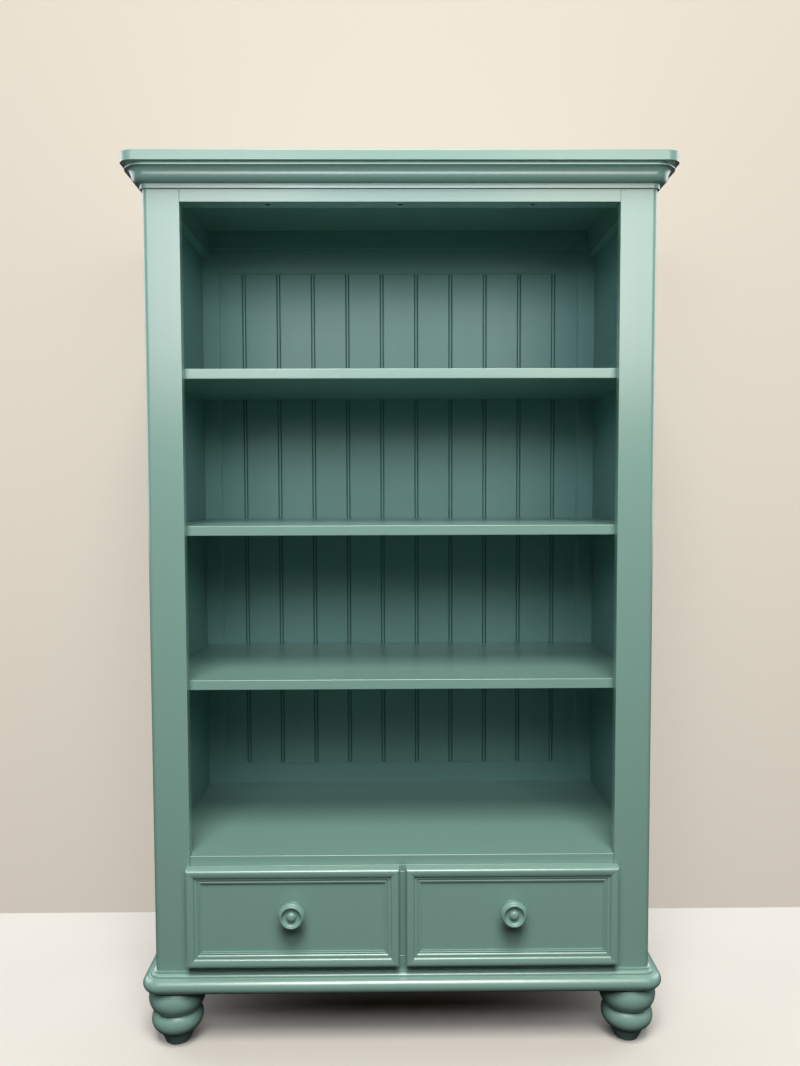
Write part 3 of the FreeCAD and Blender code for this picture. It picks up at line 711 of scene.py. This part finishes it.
def top_board(number):
    """A board with round front corners. Its top edge is rounded on the front and the sides."""
    low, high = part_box("top_board")
    plan = [(low.x, high.y), (high.x, high.y)]
    for side, edge in ((1, high.x), (-1, low.x)):
        arc = []
        for i in range(TOP_CORNER_STEPS + 1):
            angle = math.radians(90 - 90 / TOP_CORNER_STEPS * i)
            arc.append((edge - side * TOP_CORNER_RADIUS * (1 - math.sin(angle)),
                        low.y + TOP_CORNER_RADIUS * (1 - math.cos(angle))))
        plan += arc if side > 0 else arc[::-1]
    bm = bmesh.new()
    under = bm.faces.new([bm.verts.new((x, y, low.z)) for x, y in plan])
    grown = bmesh.ops.extrude_face_region(bm, geom=[under])["geom"]
    bmesh.ops.translate(bm, verts=[v for v in grown if isinstance(v, bmesh.types.BMVert)],
                        vec=(0, 0, high.z - low.z))
    bmesh.ops.recalc_face_normals(bm, faces=bm.faces)
    rim = [e for e in bm.edges if all(v.co.z > high.z - TOP_EDGE_ROUND for v in e.verts)
           and not all(v.co.y > high.y - MM for v in e.verts)]
    bmesh.ops.bevel(bm, geom=rim, offset=TOP_EDGE_ROUND, offset_type="OFFSET",
                    segments=TOP_EDGE_STEPS, profile=0.5, affect="EDGES", clamp_overlap=True)
    mesh = bpy.data.meshes.new("top_board_finished")
    bm.to_mesh(mesh)
    bm.free()
    mesh.materials.append(PAINT_LEVEL)
    smoothed(mesh, BOARD_SHARP)
    numbered(mesh, number)
    stands_for(weighted(linked("top_board_finished", mesh)), "top_board")


# The moulded pieces' board numbers start above those of the plain boards.
DRAWERS = ("drawer_left", "drawer_right")
wrapped("crown_front", ("crown_left", "crown_right"), CROWN_OUTLINE, 101)
wrapped("base_moulding_front", ("base_moulding_left", "base_moulding_right"), PLINTH_OUTLINE, 111)
for number, drawer in zip((121, 131), DRAWERS):
    drawer_moulding(drawer, number)
top_board(141)

slots = {part["node"]: part["material_slot"] for part in frame["record"]["subparts"]}
for number, node in enumerate(sorted(frame["nodes"])):
    slot = slots[node]
    if node.startswith(("foot_front", "foot_rear")):
        carried(node, FOOT_OUTLINE, foot_stations(node), PAINT_TURNED, number)
    elif node.endswith("_knob"):
        carried(node, KNOB_OUTLINE, knob_stations(node), PAINT_TURNED, number)
    elif any_of(node, MOULDED):
        continue
    elif slot == "screws":
        dressed(node, STEEL, 0.0, number)
    elif slot == "bare_wood":
        dressed(node, pine_for(node), arris_for(node), number)
    else:
        dressed(node, paint_for(node), arris_for(node), number)


# ---- Screws: one head is set at every point of a guide, each turned its own way

HEAD_RADIUS = 3.7 * MM
HEAD_PROUD = 0.4 * MM
HEAD_DEPTH = 1.6 * MM
CROSS_DEPTH = 1.2 * MM
CROSS_REACH = [2.0, 2.07, 1.0, 0.71, 1.0, 2.07]
HEAD_STEPS = 24
HEAD_SHOULDER = 0.2 * MM
HEAD_TOP_SHARE = 0.93
CROSS_FLOOR_SHARE = 0.6
BACK_BOARDS = 11
BACK_SCREW_SEED = 7
KNOB_SCREW_PROUD = 1.4 * MM
SHELVES = [node for node in sorted(frame["nodes"]) if node.startswith("shelf_")]


def screw_head():
    """A low round head with a cross recess. It faces up, and the wood's face is at zero."""
    rings = [([HEAD_RADIUS] * HEAD_STEPS, -HEAD_DEPTH), ([HEAD_RADIUS] * HEAD_STEPS, HEAD_SHOULDER),
             ([HEAD_TOP_SHARE * HEAD_RADIUS] * HEAD_STEPS, HEAD_PROUD)]
    cross = [CROSS_REACH[i % len(CROSS_REACH)] * MM for i in range(HEAD_STEPS)]
    rings += [(cross, HEAD_PROUD),
              ([CROSS_FLOOR_SHARE * reach for reach in cross], HEAD_PROUD - CROSS_DEPTH)]
    points = []
    angles = [math.tau * i / HEAD_STEPS for i in range(HEAD_STEPS)]
    for radii, level in rings:
        points += [(r * math.cos(a), r * math.sin(a), level) for r, a in zip(radii, angles)]
    faces = [tuple(range(HEAD_STEPS))[::-1]]
    for ring in range(len(rings) - 1):
        start = ring * HEAD_STEPS
        for i in range(HEAD_STEPS):
            after = (i + 1) % HEAD_STEPS
            faces.append((start + i, start + after,
                          start + HEAD_STEPS + after, start + HEAD_STEPS + i))
    faces.append(tuple(range(len(points) - HEAD_STEPS, len(points))))
    mesh = bpy.data.meshes.new("screw_head")
    mesh.from_pydata(points, [], faces)
    smoothed(mesh, SCREW_SHARP)
    return mesh


def heads_on_points():
    """A head on every point of the guide, all facing one way, each turned by a seeded chance."""
    jig = Jig("heads_on_points", [("Head", "NodeSocketObject"), ("Facing", "NodeSocketVector"),
                                  ("Seed", "NodeSocketInt"), ("Finish", "NodeSocketMaterial")])
    head = jig.node("GeometryNodeObjectInfo", {}, {"Object": jig.given["Head"]})["Geometry"]
    points = jig.node("GeometryNodeMeshToPoints", {}, {"Mesh": jig.given["Guide"]})["Points"]
    faced = jig.node("FunctionNodeAlignRotationToVector", {"axis": "Z"},
                     {"Vector": jig.given["Facing"]})["Rotation"]
    turn = jig.node("FunctionNodeRandomValue", {"data_type": "FLOAT"},
                    {"Min": 0.0, "Max": math.tau, "Seed": jig.given["Seed"]})["Value"]
    spin = jig.node("FunctionNodeAxisAngleToRotation", {},
                    {"Axis": (0, 0, 1), "Angle": turn})["Rotation"]
    turned = jig.node("FunctionNodeRotateRotation", {"rotation_space": "LOCAL"},
                      {"Rotation": faced, "Rotate By": spin})["Rotation"]
    heads = jig.node("GeometryNodeInstanceOnPoints", {},
                     {"Points": points, "Instance": head, "Rotation": turned})["Instances"]
    return jig.ends_in(heads)


HEADS = heads_on_points()


def screwed(name, places, body_node, seed):
    """Screws whose heads face the back, on the body that carries a node."""
    head = linked(name + "_head", screw_head())
    mesh = HEADS.make(name, wire_mesh(name, places), head=head, facing=(0, 1, 0), seed=seed,
                      finish=STEEL)
    bpy.data.objects.remove(head)
    numbered(mesh, seed)
    screws = linked(name, mesh)
    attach(screws, frame["nodes"][body_node]["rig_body"])


def back_screws():
    """Every board of the back is screwed to the back edge of every shelf."""
    low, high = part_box("back_boards")
    pitch = (high.x - low.x) / BACK_BOARDS
    levels = [(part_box(node)[0].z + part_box(node)[1].z) / 2 for node in SHELVES]
    screwed("back_screws", [(low.x + (i + 0.5) * pitch, high.y, z) for z in levels
                            for i in range(BACK_BOARDS)], "back_boards", BACK_SCREW_SEED)


def knob_screw(drawer, seed):
    """The screw that holds a knob, in the drawer behind it."""
    low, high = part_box(drawer + "_knob")
    inside_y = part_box(drawer + "_box_front")[1].y + KNOB_SCREW_PROUD
    screwed(drawer + "_knob_screw", [((low.x + high.x) / 2, inside_y, (low.z + high.z) / 2)],
            drawer + "_knob", seed)


back_screws()
for seed, drawer in enumerate(DRAWERS):
    knob_screw(drawer, seed)


# ---- Stage, light and camera. A lamp: name, place, aim, width, height, watts and colour

def stage_finish(name, colour, glow):
    """A plain matt stage's tree, its shader, and whether the eye sees it directly."""
    plain = Finish(name)
    cloud = plain.noise(plain.place(), STAGE_CLOUD_SCALE)
    lit = tuple(c * (1 - glow) for c in colour)
    darker = tuple(c * STAGE_CLOUD_SHADE for c in lit)
    tone = plain.mixed(cloud, opaque(lit), opaque(darker))
    pale = plain.shaded({"Base Color": tone, "Roughness": 0.85, "Specular IOR Level": 0.1,
                         "Emission Color": opaque(colour), "Emission Strength": glow})
    ray = plain.node("ShaderNodeLightPath")
    return plain, pale, ray["Is Camera Ray"]


def studio_floor():
    """Pale where it is seen, and dark to the light that bounces off it."""
    plain, pale, seen = stage_finish("studio_floor", FLOOR_COLOUR, 0.0)
    dim = plain.node("ShaderNodeBsdfDiffuse", {}, {"Color": opaque(FLOOR_BOUNCE)})["BSDF"]
    return plain.surface(plain.mixed_shaders(seen, dim, pale))


def studio_wall():
    """Seen from the front alone, so that it hides nothing from behind and stops no light."""
    plain, pale, seen = stage_finish("studio_wall", WALL_COLOUR, WALL_GLOW)
    clear = plain.node("ShaderNodeBsdfTransparent")["BSDF"]
    back = plain.node("ShaderNodeNewGeometry")["Backfacing"]
    from_front = seen * (1 - back)
    return plain.surface(plain.mixed_shaders(from_front, clear, pale))


def stage_sheet(name, corners, finish):
    mesh = bpy.data.meshes.new(name)
    mesh.from_pydata(corners, [], [(0, 1, 2, 3)])
    mesh.materials.append(finish)
    linked(name, mesh)


wall_y = cad_bounds[1][1] + WALL_GAP
stage_sheet("floor", [(-STAGE_HALF, -STAGE_HALF, 0), (STAGE_HALF, -STAGE_HALF, 0),
                      (STAGE_HALF, STAGE_HALF, 0), (-STAGE_HALF, STAGE_HALF, 0)], studio_floor())
stage_sheet("backdrop", [(-STAGE_HALF, wall_y, 0), (STAGE_HALF, wall_y, 0),
                         (STAGE_HALF, wall_y, WALL_HEIGHT), (-STAGE_HALF, wall_y, WALL_HEIGHT)],
            studio_wall())


def soft_light(name, place, aim, width, height, power, colour=(1, 1, 1)):
    lamp = bpy.data.lights.new(name, "AREA")
    lamp.shape = "RECTANGLE"
    lamp.size = width
    lamp.size_y = height
    lamp.energy = power
    lamp.color = colour
    holder = linked(name, lamp)
    holder.location = place
    holder.rotation_euler = (Vector(aim) - Vector(place)).to_track_quat("-Z", "Y").to_euler()


soft_light("ceiling", (0.0, -3.2, 6.0), (0, 0, 0.8), 2.6, 2.2, 380, (1.0, 0.96, 0.89))
soft_light("front_left", (-0.66, -1.73, 1.76), (-0.1, 0, 1.1), 0.64, 0.80, 7.2, (1.0, 0.88, 0.90))
soft_light("front_right", (0.74, -1.73, 1.76), (0.1, 0, 1.1), 0.64, 0.80, 7.8, (1.0, 0.90, 0.85))
soft_light("front_middle", (0.0, -1.73, 1.75), (0, 0, 1.1), 0.9, 0.44, 9.3, (0.90, 0.98, 1.0))
soft_light("side_left", (-2.4, 0.6, 1.6), (-0.4, 0, 0.8), 2.0, 1.8, 26)
soft_light("side_right", (2.4, 0.6, 1.6), (0.4, 0, 0.8), 2.0, 1.8, 26)
soft_light("behind", (0, 2.8, 2.0), (0, 0.2, 0.8), 3.0, 1.6, 50)


def studio_air():
    """Pale to the eye, and a faint light on everything."""
    world = bpy.data.worlds.new("studio")
    world.use_nodes = True
    scene.world = world
    air = Graph(world.node_tree)
    air.tree.nodes.clear()
    seen = air.node("ShaderNodeLightPath")["Is Camera Ray"]
    pale = air.node("ShaderNodeBackground", {},
                    {"Color": opaque(WALL_COLOUR), "Strength": 1.0})["Background"]
    faint = air.node("ShaderNodeBackground", {},
                     {"Color": opaque((1, 1, 1)), "Strength": AMBIENT})["Background"]
    air.node("ShaderNodeOutputWorld", {}, {"Surface": air.mixed_shaders(seen, faint, pale)})


studio_air()

# The camera stands a little left of the middle and looks slightly down.
CAMERA_RIGHT = -16.6 * MM
CAMERA_FROM_FACE_FRAME = 1517.6 * MM
CAMERA_HEIGHT = 1021.0 * MM
CAMERA_TURN_RIGHT = 0.0092
CAMERA_TILT_DOWN = 0.0526
CAMERA_ROLL = 0.0031
FOCAL_IN_WIDTHS = 857 / 800
SENSOR_WIDTH = 36.0

eye = bpy.data.cameras.new("camera")
eye.sensor_fit = "HORIZONTAL"
eye.sensor_width = SENSOR_WIDTH
eye.lens = SENSOR_WIDTH * FOCAL_IN_WIDTHS
camera = linked("camera", eye)
camera.location = (CAMERA_RIGHT, FACE_FRAME_Y - CAMERA_FROM_FACE_FRAME, CAMERA_HEIGHT)
aim = Euler((math.pi / 2 - CAMERA_TILT_DOWN, 0, -CAMERA_TURN_RIGHT)).to_matrix()
camera.rotation_euler = (aim @ Euler((0, 0, -CAMERA_ROLL)).to_matrix()).to_euler()
scene.camera = camera
scene.view_settings.view_transform = "Standard"
